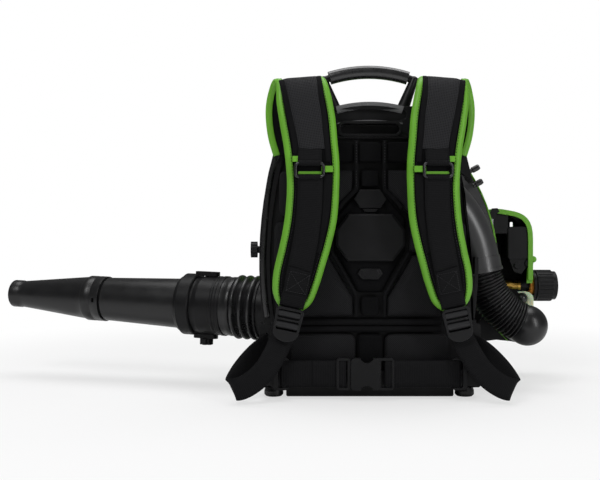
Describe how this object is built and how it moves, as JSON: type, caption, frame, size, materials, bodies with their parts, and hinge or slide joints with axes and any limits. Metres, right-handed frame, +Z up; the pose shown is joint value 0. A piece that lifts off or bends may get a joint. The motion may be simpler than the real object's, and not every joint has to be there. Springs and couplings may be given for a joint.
{
  "type": "backpack leaf blower",
  "caption": "Backpack leaf blower with padded harness frame, ribbed intake duct and hose, scroll fan, two-stroke engine under a green cover, bellows and blower tube with tapered nozzle.",
  "frame": {"origin": "on the floor, at the centre of the four feet's screw holes", "axes": "+X to the right for someone facing the harness, +Y away from the wearer towards the engine, +Z up"},
  "size_m": [1.0623, 0.3935, 0.555],
  "materials": {
    "black_plastic": "moulded, fine grain",
    "gloss_black": "semi gloss",
    "grip_rubber": "soft grained",
    "rubber": "matt rubber",
    "pad_fabric": "woven nylon",
    "mesh_fabric": "spacer mesh",
    "webbing": "woven polypropylene",
    "ring_steel": "dark plated",
    "impeller_plastic": "glass filled nylon",
    "duct_plastic": "satin",
    "tube_plastic": "satin",
    "green_plastic": "satin, moulded",
    "cast_alloy": "as cast",
    "steel": "plain",
    "tank_plastic": "translucent"
  },
  "bodies": {
    "pack": {"base_frame": "black_plastic", "rubber_feet": "rubber", "back_frame": "black_plastic", "handle_bar": "black_plastic", "handle_grip": "grip_rubber", "upper_pad": "pad_fabric", "spine_pad": "pad_fabric", "mesh_pads": "mesh_fabric", "side_pads": "pad_fabric", "badge_plate": "gloss_black", "lumbar_pad": "pad_fabric", "shoulder_strap_left": "mesh_fabric", "shoulder_strap_right": "mesh_fabric", "strap_rings": "ring_steel", "strap_webbing": "webbing", "adjuster_left": "black_plastic", "adjuster_right": "black_plastic", "tail_webbing_left": "webbing", "tail_webbing_right": "webbing", "belt_left": "webbing", "belt_right": "webbing", "belt_loops": "black_plastic", "buckle_socket": "black_plastic", "vibration_mounts": "rubber", "fan_housing_front": "black_plastic", "fan_housing_rear": "black_plastic", "inlet_guard": "black_plastic", "intake_duct": "duct_plastic", "intake_hose": "rubber", "intake_elbow": "duct_plastic", "elbow_bracket": "green_plastic", "crankcase": "cast_alloy", "cylinder": "cast_alloy", "spark_plug": "steel", "starter_cover": "green_plastic", "starter_rope": "webbing", "engine_cover": "green_plastic", "cowl_grille": "duct_plastic", "muffler": "steel", "carburettor": "cast_alloy", "air_cleaner": "black_plastic", "fuel_tank": "tank_plastic", "bellows": "rubber"},
    "rotor": {"impeller": "impeller_plastic", "crankshaft": "steel", "flywheel": "cast_alloy"},
    "piston": {"piston": "cast_alloy"},
    "starter_grip": {"starter_handle": "black_plastic"},
    "cap": {"fuel_cap": "black_plastic"},
    "primer": {"primer_bulb": "rubber"},
    "choke": {"choke_lever": "black_plastic"},
    "side_knob": {"frame_knob": "black_plastic"},
    "lower_tube": {"tube_cuff": "black_plastic", "tube_clamp": "black_plastic"},
    "tube_knob": {"clamp_knob": "black_plastic"},
    "upper_tube": {"blower_tube": "tube_plastic"},
    "tube_nozzle": {"nozzle": "tube_plastic"},
    "belt_plug": {"buckle_plug": "black_plastic"},
    "tab_upper": {"buckle_tab_upper": "black_plastic"},
    "tab_lower": {"buckle_tab_lower": "black_plastic"}
  },
  "joints": [
    {"name": "fan_spin", "type": "hinge", "parent": "pack", "child": "rotor", "pos_m": [0.006, 0, 0.225], "axis": [0, 1, 0], "continuous": true},
    {"name": "piston_stroke", "type": "slide", "parent": "pack", "child": "piston", "axis": [0, 0, 1], "range_m": [-0.036, 0]},
    {"name": "starter_pull", "type": "slide", "parent": "pack", "child": "starter_grip", "axis": [-0.9397, 0, 0.342], "range_m": [0, 0.5], "stiffness_N_per_m": 10, "deforming": ["starter_rope"]},
    {"name": "fuel_cap_turn", "type": "hinge", "parent": "pack", "child": "cap", "pos_m": [0.35, 0.079, 0.174], "axis": [1, 0, 0], "range_deg": [0, 360]},
    {"name": "primer_push", "type": "slide", "parent": "pack", "child": "primer", "axis": [0, 1, 0], "range_m": [0, 0.004], "stiffness_N_per_m": 400},
    {"name": "choke_turn", "type": "hinge", "parent": "pack", "child": "choke", "pos_m": [0.292, 0.054, 0.2186], "axis": [0, 1, 0], "range_deg": [0, 70]},
    {"name": "side_knob_turn", "type": "hinge", "parent": "pack", "child": "side_knob", "pos_m": [-0.19, -0.119, 0.245], "axis": [-1, 0, 0], "continuous": true},
    {"name": "tube_lift", "type": "hinge", "parent": "pack", "child": "lower_tube", "pos_m": [-0.21496, -0.02118, 0.14031], "axis": [0.2756, 0.9613, 0], "range_deg": [-10, 25], "deforming": ["bellows"]},
    {"name": "clamp_knob_turn", "type": "hinge", "parent": "lower_tube", "child": "tube_knob", "pos_m": [-0.2863, -0.00072, 0.07787], "axis": [-0.0335, 0.0096, -0.9994], "continuous": true},
    {"name": "tube_swivel", "type": "hinge", "parent": "lower_tube", "child": "upper_tube", "pos_m": [-0.31871, 0.00858, 0.14408], "axis": [-0.9607, 0.2755, 0.0349], "range_deg": [-180, 180]},
    {"name": "nozzle_twist", "type": "hinge", "parent": "upper_tube", "child": "tube_nozzle", "pos_m": [-0.49643, 0.05954, 0.15054], "axis": [-0.9607, 0.2755, 0.0349], "range_deg": [0, 30]},
    {"name": "buckle_release", "type": "slide", "parent": "pack", "child": "belt_plug", "axis": [-1, 0, 0], "range_m": [0, 0.045], "deforming": ["belt_left"]},
    {"name": "tab_upper_squeeze", "type": "hinge", "parent": "belt_plug", "child": "tab_upper", "pos_m": [-0.033, -0.17, 0.0548], "axis": [0, 1, 0], "range_deg": [0, 5], "stiffness_Nm_per_rad": 0.3},
    {"name": "tab_lower_squeeze", "type": "hinge", "parent": "belt_plug", "child": "tab_lower", "pos_m": [-0.033, -0.17, 0.0332], "axis": [0, -1, 0], "range_deg": [0, 5], "stiffness_Nm_per_rad": 0.3}
  ]
}
